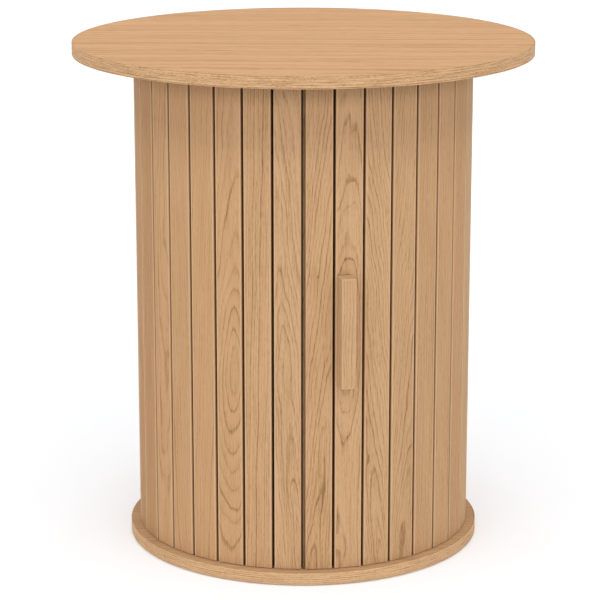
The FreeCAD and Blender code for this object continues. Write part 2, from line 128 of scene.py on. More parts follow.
class Grade:
    """A value that changes over a surface; Python arithmetic on it adds Math nodes."""

    def __init__(self, finish, socket):
        self.finish = finish
        self.socket = socket

    def maths(self, operation, *values):
        return self.finish.node(
            "ShaderNodeMath", {"operation": operation}, dict(enumerate(values))
        )

    def __add__(self, other):
        return self.maths("ADD", self, other)

    def __sub__(self, other):
        return self.maths("SUBTRACT", self, other)

    def __rsub__(self, other):
        return self.maths("SUBTRACT", other, self)

    def __mul__(self, other):
        return self.maths("MULTIPLY", self, other)

    def __truediv__(self, other):
        return self.maths("DIVIDE", self, other)

    def __pow__(self, other):
        return self.maths("POWER", self, other)

    def __abs__(self):
        return self.maths("ABSOLUTE", self)

    def __neg__(self):
        return self * -1

    __radd__ = __add__
    __rmul__ = __mul__

    def fraction(self):
        return self.maths("FRACT", self)

    def whole(self):
        return self.maths("FLOOR", self)

    def root(self):
        return self.maths("SQRT", self)


class Finish:
    """One material or the world, built from nodes by the same few methods."""

    def __init__(self, owner, shader, **constants):
        owner.use_nodes = True
        self.owner = owner
        self.tree = owner.node_tree
        self.shader = self.tree.nodes[shader]
        for socket, value in constants.items():
            self.shader.inputs[socket.replace("_", " ")].default_value = value

    def node(self, kind, settings, sockets, output=0):
        made = self.tree.nodes.new(kind)
        for name, value in settings.items():
            setattr(made, name, value)
        for name, value in sockets.items():
            if isinstance(value, Grade):
                self.tree.links.new(value.socket, made.inputs[name])
            else:
                made.inputs[name].default_value = value
        return Grade(self, made.outputs[output])

    def place(self, turn=0.0):
        """Object coordinates in millimetres, turned about Z by some degrees, as three grades."""
        where = self.node("ShaderNodeTexCoord", {}, {}, "Object")
        sockets = {
            "Vector": where,
            "Rotation": (0, 0, -math.radians(turn)),
            "Scale": (1 / MM,) * 3,
        }
        return self.apart(self.node("ShaderNodeMapping", {}, sockets))

    def apart(self, vector):
        """A vector's three parts."""
        made = self.tree.nodes.new("ShaderNodeSeparateXYZ")
        self.tree.links.new(vector.socket, made.inputs[0])
        return [Grade(self, made.outputs[n]) for n in range(3)]

    def noise(self, parts, detail=2.0, roughness=0.5):
        """Noise from 0 to 1 at a place given as one grade or three, in its own units."""
        sockets = {"Scale": 1.0, "Detail": detail, "Roughness": roughness}
        if len(parts) == 1:
            dimensions = "1D"
            sockets["W"] = parts[0]
        else:
            dimensions = "3D"
            parts = dict(enumerate(parts))
            sockets["Vector"] = self.node("ShaderNodeCombineXYZ", {}, parts)
        return self.node("ShaderNodeTexNoise", {"noise_dimensions": dimensions}, sockets)

    def ramp(self, value, low, high, smooth=True):
        """0 below low and 1 above high, with an eased or straight rise between them."""
        settings = {"interpolation_type": "SMOOTHSTEP" if smooth else "LINEAR", "clamp": True}
        sockets = {"Value": value, "From Min": low, "From Max": high}
        return self.node("ShaderNodeMapRange", settings, sockets)

    def blend(self, amount, first, second, kind="MIX"):
        """A colour between two colours, or with MULTIPLY the first dimmed by the second."""
        settings = {"data_type": "RGBA", "blend_type": kind}
        sockets = {0: amount, 6: colour(first), 7: colour(second)}
        return self.node("ShaderNodeMix", settings, sockets, 2)

    def tint(self, amount, first, second):
        return self.blend(amount, first, second, "MULTIPLY")

    def bump(self, height, distance):
        sockets = {"Height": height, "Distance": distance, "Strength": 0.8}
        return self.node("ShaderNodeBump", {}, sockets)

    def wear(self, **sockets):
        """Links what varies to the shader, and returns the finished material."""
        for name, value in sockets.items():
            self.tree.links.new(value.socket, self.shader.inputs[name.replace("_", " ")])
        return self.owner


def new_finish(name, **constants):
    return Finish(bpy.data.materials.new(name), "Principled BSDF", **constants)


def colour(value):
    return value if isinstance(value, Grade) else (*value, 1.0)


# Lacquered oak at its palest, in between and at its darkest, and the lighter colour along an edge,
# partly worn lacquer and partly a painted highlight; then the painted shade that dims it on a
# slat's sides in the gaps and on a board's underside.
OAK_LIGHT = (0.484, 0.303, 0.165)
OAK_MIDDLE = (0.408, 0.244, 0.124)
OAK_DARK = (0.200, 0.104, 0.046)
OAK_WORN_HIGHLIT = (0.560, 0.366, 0.214)
SIDE_SHADE = (0.42, 0.31, 0.21)
UNDERSIDE_SHADE_COLOUR = (0.42, 0.37, 0.33)

# How much of the oak's darkening comes from each part of its figure.
GROUND, LINE, STREAK, FIBRE, PORE = 0.15, 0.88, 2.2, 1.9, 0.4

# How soon a bowed heart line flattens out, and how much more a ring's slope counts along the grain
# than across it. In millimetres: how wide a ring's dark line is where the ring stands square to
# the face, how far the rings stray, and half the width and height of a knot's eye.
FLATTEN = 1.2
ALONG_GRAIN = 6
LINE_WIDTH = 0.62
WANDER = 6
KNOT_HALVES = (1.6, 2.4)


def figure(finish, across, along, depth, seed, log, coarse):
    """Oak figure: growth rings round a log's heart line, cut by the surface.

    With z in hundreds of millimetres from the middle, the heart line runs along the grain at
    heart + lean z across the face and hidden + tilt z + bow z^2 / (1 + z^2 / 1.2) behind it.
    The ring number is the distance to that line, made uneven by stretched noise, over the ring
    width. Its slope over the surface, worked out without the noise, keeps the line of each ring
    equally thin however flat the cut meets it. A place in a noise is divided by the millimetres
    over which that noise changes. Coarse is how much wider and longer than on a slat the fibres
    are. Returns the ring line from 0 to 1, the fibre streaks, finer fibres, the open pores and a
    slow change of tone.
    """
    heart, hidden, lean, tilt, bow, middle, ring_width, unrest = log
    wander = WANDER * unrest
    z = (along - middle) / 100

    # The rings, and how steeply they meet the surface.
    sway = finish.noise([along / 150 + seed * 3.7]) - 0.5
    dive = finish.noise([along / 120 + seed * 5.3 + 40]) - 0.5
    off_heart = across - heart - lean * z + sway * wander
    flattening = 1 + z * z / FLATTEN
    rise_behind = bow * z * z / flattening
    below = depth + hidden + tilt * z + rise_behind + dive * wander
    distance = (off_heart * off_heart + below * below).root()
    slope_up = off_heart * -lean + below * (tilt + 2 * bow * z / (flattening * flattening))
    slope_up = slope_up / 100
    slope = (off_heart * off_heart + slope_up * slope_up * ALONG_GRAIN).root() / distance
    wave = finish.noise([across / 15 + seed, depth / 15, along / 85], 1.5) - 0.5
    ripple = finish.noise([across / 4.5, depth / 4.5 + seed, along / 26], 1.0) - 0.5
    rings = (distance + wave * wander + ripple * (0.9 * unrest)) / ring_width
    uneven = rings + finish.noise([rings * 0.45 + seed * 2.1], 1.0) * 1.1
    phase = uneven.fraction()

    # Each ring starts with a thin dark line, fainter where the cut is flat, and ends darker.
    wide, long = coarse
    side, back, run = across / wide, depth / wide, along / long
    strength = finish.noise([uneven.whole() * 0.83 + seed], 0.0)
    grip = 0.55 + finish.ramp(strength, 0.3, 0.7) * 0.65
    broken = finish.noise([side / 0.7, back / 0.7 + seed, run / 8], 2.0)
    dash = finish.ramp(broken, 0.38, 0.62)
    thin = (LINE_WIDTH / ring_width * slope + 0.03).maths("MINIMUM", 0.3)
    reach = phase / thin
    early = finish.ramp(reach, 0.0, 0.12) * (1 - finish.ramp(reach, 0.3, 1.0))
    early = early * (0.35 + 0.65 * finish.ramp(slope, 0.0, 0.25))
    late = finish.ramp(phase, 0.5, 1.0) ** 2
    near_heart = 1 - finish.ramp(distance / ring_width, 2.0, 5.5)
    line = (early * (0.68 + 0.32 * dash) + late * 0.26) * grip + near_heart * 0.16

    # Fibres and pores are long and narrow, and the tone changes slowly.
    streak = finish.noise([side, back + seed, run / 42], 3.0, 0.7)
    fine = finish.noise([side / 0.6 + seed, back / 0.6, run / 7], 2.0, 0.6)
    specks = finish.noise([side / 0.45, back / 0.45, run / 6 + seed], 1.0)
    pores = finish.ramp(specks, 0.60, 0.76) * (0.4 + 0.6 * early)
    tone = finish.noise([across / 22 + seed, depth / 30, run / 170], 1.0)
    return line, streak, fine, pores, tone


def oak(name, read, seed, log, cast=(0.0, 1.0, 1.0), coarse=(1, 1), edge=None, knot=None):
    """Matt lacquered oak, with a cast of warmth, lightness and contrast.

    Read gives the places across the grain, along it and in from the face. Edge changes the
    colour along a piece's edges and sides: worn lacquer, painted highlights and painted shade. A
    knot is (across, along) of a small dark eye.
    """
    warmth, lightness, contrast = cast
    tone_weight = 0.35 + 0.15 * coarse[0]
    finish = new_finish(name, IOR=1.42, Specular_IOR_Level=0.03)
    across, along, depth = read(finish)
    line, streak, fine, pores, tone = figure(finish, across, along, depth, seed, log, coarse)
    amount = (
        GROUND
        + line * (LINE * contrast)
        + (streak - 0.5) * (STREAK * contrast)
        + (fine - 0.5) * (FIBRE * contrast)
        + pores * (PORE * contrast)
        + (tone - 0.5) * tone_weight
    )
    if knot:
        dx = (across - knot[0]) / KNOT_HALVES[0]
        dz = (along - knot[1]) / KNOT_HALVES[1]
        away = (dx * dx + dz * dz).root()
        eye = 1 - finish.ramp(away, 0.15, 1.0)
        shadow = 1 - finish.ramp(away, 0.6, 4.5)
        amount = amount + eye * 0.75 + shadow * 0.12
    light = finish.blend(finish.ramp(amount, -0.1, 0.55, False), OAK_LIGHT, OAK_MIDDLE)
    wood = finish.blend(finish.ramp(amount, 0.45, 1.5, False), light, OAK_DARK)
    dye = [lightness * (1 + part * warmth) for part in (0.03, -0.012, -0.05)]
    wood = finish.tint(1.0, wood, dye)
    if edge:
        wood = edge(finish, wood, across, along, depth)
    rough = 0.52 + (streak - 0.5) * 0.16 + pores * 0.12 - line * 0.05
    grain = finish.bump(0.5 * line + (0.5 - streak) * 0.5 - pores, 0.00007)
    return finish.wear(Base_Color=wood, Roughness=rough, Normal=grain)


def upright(angle, face):
    """Places on a slat or bar at an angle round the column: across, up, and in from its face."""

    def read(finish):
        x, y, z = finish.place(angle)
        return x, z, y + face

    return read


def lying(turn=0.0):
    """Places on a level board, with the grain along X turned by an angle."""

    def read(finish):
        x, y, z = finish.place(turn)
        return y, x, z

    return read


def bent(radius):
    """Places on an upright curved board whose grain runs up: arc, up, and out from its radius."""

    def read(finish):
        x, y, z = finish.place()
        arc = x.maths("ARCTAN2", x, -y) * radius
        return arc, z, (x * x + y * y).root() - radius

    return read


def leaved(radius, leaves):
    """Places on a curved board veneered all the way round in leaves, each mirroring the last."""

    def read(finish):
        arc, up, out = bent(radius)(finish)
        leaf = 2 * math.pi * radius / leaves
        turn = (arc / (2 * leaf)).fraction()
        return abs(turn * 2 - 1) * leaf, up, out

    return read


def banded(radius):
    """Places on a strip bent round a board's edge, whose grain runs round it."""

    def read(finish):
        arc, up, out = bent(radius)(finish)
        return up, arc, out

    return read


def underside(level):
    """A board's underside, below a level, darkened as painted shade; it also throws less light on
    the column under it.
    """

    def shade(finish, wood, across, along, depth):
        below = 1 - finish.ramp(depth, level, level + 0.5)
        return finish.tint(below, wood, UNDERSIDE_SHADE_COLOUR)

    return shade


def slat_edge(left_shade, right_shade):
    """A thin lighter line along the two long edges, partly worn lacquer and partly a painted
    highlight, and painted shade darkening the sides behind them in the gaps.
    """

    def shade(finish, wood, across, along, depth):
        # Painted highlight and worn lacquer: the long edges are lightened.
        wear_and_highlight = finish.ramp(abs(across), SLAT_HALF - 1.9, SLAT_HALF - 0.9) * 0.7
        wood = finish.blend(wear_and_highlight, wood, OAK_WORN_HIGHLIT)
        stain = left_shade + finish.ramp(across, -1, 1) * (right_shade - left_shade)
        # Painted shade: the slat's sides, in the gaps between slats, are darkened.
        return finish.tint(finish.ramp(depth, 0.6, 2.6) * stain, wood, SIDE_SHADE)

    return shade


def handle_painted_light(finish, wood, across, along, depth):
    """The handle's front arrises lightened as a painted highlight, and its ends lightened as
    painted light.
    """
    off_middle = abs(across - HANDLE_ACROSS)
    side = finish.ramp(off_middle, HANDLE_HALF - 1.6, HANDLE_HALF - 0.3)
    front = 1 - finish.ramp(depth, 0.8, 2.0)
    to_end = abs(along - HANDLE_MIDDLE)
    end = finish.ramp(to_end, HANDLE_HALF_LENGTH - 1.4, HANDLE_HALF_LENGTH - 0.2)
    painted_highlight = tuple(1.22 * part for part in OAK_LIGHT)
    # Painted highlight on the front arrises and painted light on the ends.
    return finish.blend(side * front * 0.5 + end * 0.75, wood, painted_highlight)


def dark_board():
    """Dark stained backing, faintly mottled."""
    finish = new_finish("dark_backing", Specular_IOR_Level=0.2)
    x, y, z = finish.place()
    mottle = finish.noise([x / 4, y / 4, z / 30], 3.0)
    stain = finish.blend(mottle, (0.022, 0.012, 0.006), (0.050, 0.028, 0.014))
    return finish.wear(Base_Color=stain, Roughness=0.7 + mottle * 0.2)


def canvas_cloth():
    """Plain weave on the cloth's own UV map: each thread goes over every second one it crosses."""
    finish = new_finish("tambour_canvas", Specular_IOR_Level=0.15)
    u, v, _ = finish.apart(finish.node("ShaderNodeUVMap", {"uv_map": "cloth"}, {}))
    u, v = u / (MM * THREAD), v / (MM * THREAD)
    warp = abs((u * math.pi).maths("SINE"))
    weft = abs((v * math.pi).maths("SINE"))
    over = ((u.whole() + v.whole()) * 0.5).fraction() * 2
    weave = warp * over + weft * (1 - over)
    warp_slub = finish.noise([u * 0.35, v * 0.03], 2.0)
    weft_slub = finish.noise([u * 0.03, v * 0.35], 2.0)
    slub = warp_slub * over + weft_slub * (1 - over)
    shade = weave * 0.7 + slub * 0.5
    cloth = finish.blend(shade, (0.018, 0.010, 0.006), (0.056, 0.034, 0.020))
    threads = finish.bump(weave + slub * 0.4, 0.00018)
    return finish.wear(Base_Color=cloth, Roughness=0.82 + weave * 0.12, Normal=threads)


def zinc():
    """Zinc plate with fine turning marks and a little dulling."""
    finish = new_finish("zinc_plate", Metallic=1.0)
    x, y, z = finish.place()
    marks = finish.noise([x / 0.6, y / 0.6, z / 0.15], 2.0)
    dull = finish.noise([x / 5, y / 5, z / 5], 2.0)
    metal = finish.blend(dull, (0.62, 0.61, 0.58), (0.50, 0.49, 0.47))
    return finish.wear(Base_Color=metal, Roughness=0.28 + marks * 0.12 + dull * 0.12)


def moulded():
    """Brown plastic with a fine pebbled skin."""
    finish = new_finish("brown_plastic", Specular_IOR_Level=0.45)
    x, y, z = finish.place()
    pebble = finish.noise([x / 0.5, y / 0.5, z / 0.5], 2.0)
    tone = finish.blend(pebble, (0.060, 0.042, 0.030), (0.085, 0.062, 0.046))
    return finish.wear(Base_Color=tone, Roughness=0.5 + pebble * 0.15)


def felted():
    """Pressed felt, with its fibres lying flat."""
    finish = new_finish("pressed_felt", Specular_IOR_Level=0.1)
    x, y, z = finish.place()
    fibres = finish.noise([x / 0.7, y / 0.7, z / 0.3], 4.0, 0.7)
    tone = finish.blend(fibres, (0.045, 0.036, 0.030), (0.130, 0.108, 0.092))
    return finish.wear(Base_Color=tone, Roughness=0.9 + fibres * 0.08)


# Surfaces. A shape is (points, faces). Points closer than WELD metres become one, and an edge is
# sharp from SHARP_ANGLE degrees. A rounded corner's flats have a support point at SUPPORT times
# the corner's reach.

WELD = 1e-6
SHARP_ANGLE = 40.0
SUPPORT = 1.2


def shaped(name, shape, material):
    """An object from a shape in metres, welded, facing outwards and sharp at steep edges."""
    points, faces = shape
    mesh = bpy.data.meshes.new(name)
    mesh.from_pydata(points, [], faces)
    work = bmesh.new()
    work.from_mesh(mesh)
    bmesh.ops.remove_doubles(work, verts=work.verts, dist=WELD)
    bmesh.ops.recalc_face_normals(work, faces=work.faces)
    work.to_mesh(mesh)
    work.free()
    mesh.shade_smooth()
    mesh.set_sharp_from_angle(angle=math.radians(SHARP_ANGLE))
    mesh.materials.append(material)
    made = bpy.data.objects.new(name, mesh)
    bpy.context.scene.collection.objects.link(made)
    return made


def fit(name, shape, material, body, node):
    """A finer piece, in millimetres, that stands for a CAD node and rides on its body."""
    points, faces = shape
    made = shaped(name, (np.asarray(points) * MM, faces), material)
    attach(made, body)
    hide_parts(node)
    return made


def paint(node, material):
    """Gives a CAD node's mesh this material."""
    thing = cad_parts[node]
    thing.data.materials.clear()
    thing.data.materials.append(material)


def quads(rows, columns, wrap_rows, wrap_columns):
    """Faces of a grid of points stored row by row."""
    r = np.arange(rows if wrap_rows else rows - 1)[:, None]
    c = np.arange(columns if wrap_columns else columns - 1)[None, :]
    r2, c2 = (r + 1) % rows, (c + 1) % columns
    corners = [r * columns + c, r * columns + c2, r2 * columns + c2, r2 * columns + c]
    return np.stack(np.broadcast_arrays(*corners), -1).reshape(-1, 4).tolist()


def tube(rows, columns):
    """Faces of a grid whose rows are closed outlines, with the first and last outline filled."""
    outline = np.arange(columns)
    last = outline + columns * (rows - 1)
    return quads(rows, columns, False, True) + [outline[::-1].tolist(), last.tolist()]


def eased(corners, radii, steps=7):
    """An outline whose corners are rounded: each becomes an arc tangent to its two sides.

    For a corner p with unit directions a and b to its neighbours and half angle h between them,
    the arc of radius r has its centre at p + (a + b) / |a + b| r / sin h. A support point stands
    just outside each end of the arc, so that smooth shading leaves the flats flat.
    """
    corners = np.asarray(corners, float)
    found = []
    for n, (p, r) in enumerate(zip(corners, radii)):
        if r == 0:
            found.append(p[None])
            continue
        a = corners[n - 1] - p
        b = corners[(n + 1) % len(corners)] - p
        a, b = a / np.linalg.norm(a), b / np.linalg.norm(b)
        half = math.acos(np.clip(a @ b, -1, 1)) / 2
        centre = p + (a + b) / np.linalg.norm(a + b) * r / math.sin(half)
        reach = r / math.tan(half)
        start, end = p + a * reach - centre, p + b * reach - centre
        t = np.linspace(0, 1, steps)[:, None]
        swing = math.pi - 2 * half
        mixed = start * np.sin((1 - t) * swing) + end * np.sin(t * swing)
        arc = centre + mixed / math.sin(swing)
        found.append(np.vstack([p + a * reach * SUPPORT, arc, p + b * reach * SUPPORT]))
    return np.vstack(found)


def oblong(low, high, ease, steps=7):
    """A rectangle between two corners, eased at its corners in the order it is drawn.

    The order is (low, low), (high, low), (high, high), (low, high).
    """
    corners = [low, (high[0], low[1]), high, (low[0], high[1])]
    return eased(corners, ease, steps)


def about_the_axis(r, h, a):
    """Points (r sin a, -r cos a, h), a row of them for each angle in radians."""
    points = np.stack(np.broadcast_arrays(r * np.sin(a), -r * np.cos(a), h), -1)
    return points.reshape(-1, 3)


def lathe(profile, segments):
    """An outline of (radius, height) turned about Z.

    An outline that starts and ends on the axis makes a board or pin, any other a closed ring.
    """
    a = np.linspace(0, 2 * math.pi, segments, endpoint=False)[:, None]
    r, h = np.asarray(profile, float).T[:, None]
    return about_the_axis(r, h, a), quads(segments, len(profile), True, profile[0][0] > 0)


def swept(section, start, end, step=1.0, flats=False):
    """An outline of (radius, height) carried round Z from one angle to another, ends closed.

    With flats, r is divided by the cosine of the angle to the middle of its slat, so that a
    circle becomes the flats behind the slats.
    """
    degrees = np.unique(np.append(np.arange(start, end, step), [end, *SLAT_BOUNDS]))
    degrees = degrees[(degrees >= start) & (degrees <= end)][:, None]
    r, h = np.asarray(section, float).T[:, None]
    if flats:
        r = r / np.cos(np.radians(degrees % SLAT_PITCH - SLAT_PITCH / 2))
    return about_the_axis(r, h, np.radians(degrees)), tube(len(degrees), len(section))


def inset(outline, amount):
    """A closed outline moved inwards by an amount, along the mean normal of its two sides."""
    following = np.roll(outline, -1, 0)
    ahead = following - outline
    ahead /= np.linalg.norm(ahead, axis=1)[:, None]
    along = ahead + np.roll(ahead, 1, 0)
    along /= np.linalg.norm(along, axis=1)[:, None]
    area = np.sum(outline[:, 0] * following[:, 1] - following[:, 0] * outline[:, 1])
    return outline + np.sign(area) * amount * np.stack([-along[:, 1], along[:, 0]], 1)


def drawn(outline, low, high, ease, rows=6):
    """A bar: a closed outline of (x, y) carried up from low to high, with both ends eased.

    Near an end, at a height e (1 - sin t) from it, the outline is moved in by e (1 - cos t).
    """
    t = np.linspace(math.pi / 2, 0, rows)
    up, inwards = ease * (1 - np.sin(t)), ease * (1 - np.cos(t))
    flat = [low + ease * SUPPORT, high - ease * SUPPORT]
    heights = np.concatenate([low + up, flat, (high - up)[::-1]])
    insets = np.concatenate([inwards, [0, 0], inwards[::-1]])
    rings = [
        np.column_stack([inset(outline, amount), np.full(len(outline), height)])
        for height, amount in zip(heights, insets)
    ]
    return np.vstack(rings), tube(len(rings), len(outline))


def screw(length):
    """A countersunk wood screw, head at height 0 and point at length.

    A grid from the head's middle outwards, down its 45 degree cone and along the shank. The head
    has a cross recess. The thread's radius is core + (shank - core)(1 - |2 f - 1|), where f is
    the fraction of height / pitch - a / 2 pi, and it narrows towards the point.
    """
    segments, head, shank, core, point = 24, 3.5, 1.75, 1.2, 4
    arm_half, arm_reach, recess = 0.55, 1.9, 1.2
    plain = 0.35 * length
    flat = np.linspace(0, 3.3, 12)
    threaded = np.arange(plain, length, SCREW_PITCH / 6)
    r = np.concatenate([flat, [3.45, head, 1.78, shank], np.full(len(threaded), core), [0]])[None]
    h = np.concatenate([0 * flat, [0.03, 0.1, 1.8, plain - 0.2], threaded, [length]])[None]
    a = np.linspace(0, 2 * math.pi, segments, endpoint=False)[:, None]
    off_arm = np.minimum(abs(r * np.sin(a)), abs(r * np.cos(a)))
    arms = np.clip(3 * (arm_half - off_arm), 0, 1) * np.clip(2 * (arm_reach - r), 0, 1)
    h = h + recess * arms * (h == 0)
    f = (h / SCREW_PITCH - a / (2 * math.pi)) % 1
    thread = (shank - core) * (1 - abs(2 * f - 1))
    narrow = np.clip((length - h) / point, 0.05, 1)
    r = np.where((h >= plain) & (r > 0), (r + thread) * narrow, r)
    return about_the_axis(r, h, a), quads(segments, r.shape[1], True, False)


def rod(radius, length, ease, segments=32):
    """A turned pin with both ends eased."""
    section = eased([(0, 0), (radius, 0), (radius, length), (0, length)], (0, ease, ease, 0), 4)
    return lathe(section, segments)


def together(*shapes):
    """Several shapes as one."""
    points, faces, first = [], [], 0
    for shape_points, shape_faces in shapes:
        points.append(shape_points)
        faces += [[first + corner for corner in face] for face in shape_faces]
        first += len(shape_points)
    return np.vstack(points), faces


def round_the_column(points, angle):
    """Points made on the front line, turned to their angle."""
    x, y, z = np.asarray(points).T
    c, s = math.cos(math.radians(angle)), math.sin(math.radians(angle))
    return np.column_stack([x * c - y * s, x * s + y * c, z])


def turned(shape, angle):
    """A shape made on the front line, turned to its angle."""
    points, faces = shape
    return round_the_column(points, angle), faces


def laid(shape, across, reach, height, angle):
    """A shape made upright, laid down to point away from the column, then turned."""
    points, faces = shape
    x, y, z = points.T
    lying_down = np.column_stack([x + across, -z - reach, y + height])
    return round_the_column(lying_down, angle), faces


def moved(shape, x, y, z, down=False):
    """A shape moved to a place, pointing up or down."""
    points, faces = shape
    if down:
        points = points * (1, -1, -1)
    return points + (x, y, z), faces


def place_at(radius, angle):
    """The x and y of a place."""
    return round_the_column([(0, -radius, 0)], angle)[0, :2]


# The studio

scene = bpy.context.scene
scene.view_settings.view_transform = "Standard"

# The camera stands in front at 2.4 m and looks down by 14.4 degrees, as fitted to the photograph.
camera = bpy.data.objects.new("camera", bpy.data.cameras.new("camera"))
camera.data.sensor_width = 36.0
camera.data.lens = 148.7
camera.data.clip_end = 100.0
camera.location = (0.0, -2.4, 0.8556)
camera.rotation_euler = (math.radians(90 - 14.447), 0.0, 0.001366)
scene.collection.objects.link(camera)
scene.camera = camera

# A dark dome with soft white lamps round it: a low ring of them, a higher ring and one overhead,
# with more of their light in front. The tabletop keeps the high ring from the column just under
# it, and the low ring fills that shadow in. Height is the sine of the elevation.
scene.world = bpy.data.worlds.new("white_studio")
dome = Finish(scene.world, "Background", Color=(1, 1, 1, 1))
sight = dome.node("ShaderNodeTexCoord", {}, {}, "Generated")
east, north, height = dome.apart(sight)
low_ring = dome.ramp(height, 0.16, 0.22) * (1 - dome.ramp(height, 0.34, 0.44))
high_ring = dome.ramp(height, 0.60, 0.72) * (1 - dome.ramp(height, 0.78, 0.84))
overhead = dome.ramp(height, 0.86, 0.94)
in_front = (1 - north * 0.55) * (1 - east * east * 0.4)
glow = (0.02 + low_ring * 2.86 + high_ring * 3.50 + overhead * 0.82) * in_front
dome.wear(Strength=glow)

# The floor is a white sheet that rises behind in a cove, lit a little from below as for catalogue
# pictures. It leans to blue, so that it stays white in the warm light off the oak.
floor_finish = new_finish(
    "pale_floor",
    Base_Color=(0.868, 0.886, 0.912, 1),
    Specular_IOR_Level=0.0,
    Emission_Color=(1, 1, 1, 1),
    Emission_Strength=0.13,
)
x, y, z = floor_finish.place()
speckle = floor_finish.noise([x / 3, y / 3, z], 2.0)
floor_material = floor_finish.wear(Roughness=0.75 + speckle * 0.1)
FLOOR_REACH, WALL_HEIGHT, COVE = 30.0, 3.2, 1.5
bend = np.linspace(0, math.pi / 2, 9)
cove = np.column_stack([FLOOR_REACH - COVE + COVE * np.sin(bend), COVE - COVE * np.cos(bend)])
studio = np.vstack([[(0, 0)], cove, [(FLOOR_REACH, WALL_HEIGHT)]])
floor = shaped("floor", lathe(studio, segments=96), floor_material)


# The slats

# Each slat's log: heart across and behind the face, lean, tilt and bow along it, middle height,
# ring width and unrest; then warmth, lightness and contrast.
FRONT_LOGS = {
    "fixed_slat_05": ((-25, 25, -4, 2, 3.0, 240, 3.2, 1.0), (2.2, 0.87, 0.8)),
    "fixed_slat_06": ((40, 20, 0.6, -4, 0.5, 136, 2.7, 1.0), (2.2, 0.86, 0.8)),
    "fixed_slat_07": ((12, 16, 4, -3, 5.7, 330, 3.2, 1.0), (1.1, 0.997, 0.8)),
    "fixed_slat_08": ((-46, 20, -4, 3, 1.0, 250, 3.0, 1.0), (1.0, 0.98, 0.65)),
    "fixed_slat_09": ((58, 22, 3, 3, 0.5, 200, 2.9, 1.0), (1.0, 0.995, 0.65)),
    "fixed_slat_10": ((5, 7, 2, -1.5, 24, 200, 3.0, 0.8), (0.8, 1.005, 0.85)),
    "fixed_slat_11": ((95, 30, 2, 0, 0.0, 250, 2.3, 0.7), (0.6, 1.01, 1.0)),
    "fixed_slat_12": ((-3, 9, -7, 4.5, 2, 220, 2.7, 1.3), (0.0, 1.045, 1.0)),
    "door_slat_01": ((12, 12, 9, 5, 0.4, 200, 2.8, 1.0), (0.5, 1.01, 1.0)),
    "door_slat_02": ((-2, 7, 1.5, 2.5, 14, 250, 2.6, 1.1), (0.1, 1.04, 0.95)),
    "door_slat_03": ((-16, 11, -10, 5, 2, 230, 2.7, 1.2), (0.0, 1.055, 1.0)),
    "door_slat_04": ((22, 14, 10, 4, 0.0, 240, 2.8, 1.1), (0.1, 1.005, 0.9)),
    "door_slat_05": ((-70, 25, 3, 2, 0.0, 250, 2.6, 0.9), (0.6, 0.97, 0.8)),
    "door_slat_06": ((-54, 17, 0.9, 2.4, 1.3, 229, 2.5, 1.0), (0.7, 0.998, 0.8)),
    "door_slat_07": ((-32, 25, 0.6, -5, 1.6, 169, 3.5, 1.0), (1.1, 0.955, 0.8)),
}
KNOTS = {"door_slat_01": (-1.0, 302.0)}
LEFT_OF_DOOR, RIGHT_OF_FIXED = "door_slat_01", "fixed_slat_12"
# How much of the painted side shade the seam sides of the two slats beside the seam keep.
SEAM_SHADE = 0.3
SLAT_SEED, DOOR_SEED = 7.31, 50
chance = np.random.default_rng(2617)


def any_log():
    """A log and cast for a slat that isn't seen from the front, drawn in this order."""
    log = (
        chance.uniform(-60, 60),
        chance.uniform(9, 26),
        chance.uniform(-5, 5),
        chance.uniform(-8, 8),
        chance.uniform(0, 6),
        chance.uniform(120, 380),
        chance.uniform(2.5, 3.6),
        1.0,
    )
    return log, (chance.uniform(-0.4, 0.9), chance.uniform(0.97, 1.015), 0.8)


def slat(name, seed, angle, body):
    """One slat with a tongue at each end; the two beside the seam are trimmed and get less painted
    shade on their seam sides.
    """
    log, cast = FRONT_LOGS.get(name) or any_log()
    left_seam, right_seam = name == LEFT_OF_DOOR, name == RIGHT_OF_FIXED
    edges = slat_edge(SEAM_SHADE if left_seam else 1.0, SEAM_SHADE if right_seam else 1.0)
    place = upright(angle, SLAT_FACE)
    finish = oak(f"oak_{name}", place, seed, log, cast, (1, 1), edges, KNOTS.get(name))
    left = SLAT_HALF - (SEAM_TRIM if left_seam else 0)
    right = SLAT_HALF - (SEAM_TRIM if right_seam else 0)
    face = oblong((-left, -SLAT_FACE), (right, -SLAT_BACK), (0.8, 0.8, 0.3, 0.3))
    tongue = oblong((-TONGUE_HALF, -TONGUE_FACE), (TONGUE_HALF, -TONGUE_BACK), (0.5,) * 4)
    shape = together(
        drawn(face, *SLAT_ENDS, 0.4),
        drawn(tongue, TONGUE_ENDS[0], SLAT_ENDS[0] + 1, 0.4),
        drawn(tongue, SLAT_ENDS[1] - 1, TONGUE_ENDS[1], 0.4),
    )
    fit(f"{name}_oak", turned(shape, angle), finish, body, name)


for n in SLATS:
    middle = SLAT_PITCH * (n - 0.5)
    slat(f"fixed_slat_{n:02d}", SLAT_SEED * n, FIXED_START + middle, "cabinet")
    slat(f"door_slat_{n:02d}", SLAT_SEED * n + DOOR_SEED, middle, "door")


# Boards, strips and the handle

TOP_LOG = (-420, 160, 1.0, 2, 0.0, 0, 8.0, 1.0)
BASE_LOG = (400, 150, 1.0, 2, 0.0, 0, 8.0, 1.0)
STRIP_LOG = (60, 40, 0.1, 0.1, 0.0, 0, 1.6, 0.12)
SHELL_LOG = (62, 22, 5, 12, 6.0, 220, 3.6, 1.2)
POST_LOG = (40, 25, 3, 3, 0.0, 250, 2.6, 1.0)
HANDLE_LOG = (-38, 30, 2, 1, 0.0, 250, 2.2, 0.8)
BOARD_FIBRES, STRIP_FIBRES = (2.2, 2.2), (0.75, 0.45)


def strip_oak(name, radius, seed, cast):
    """The fine, even oak of the strips round the boards."""
    return oak(name, banded(radius), seed, STRIP_LOG, cast, STRIP_FIBRES)


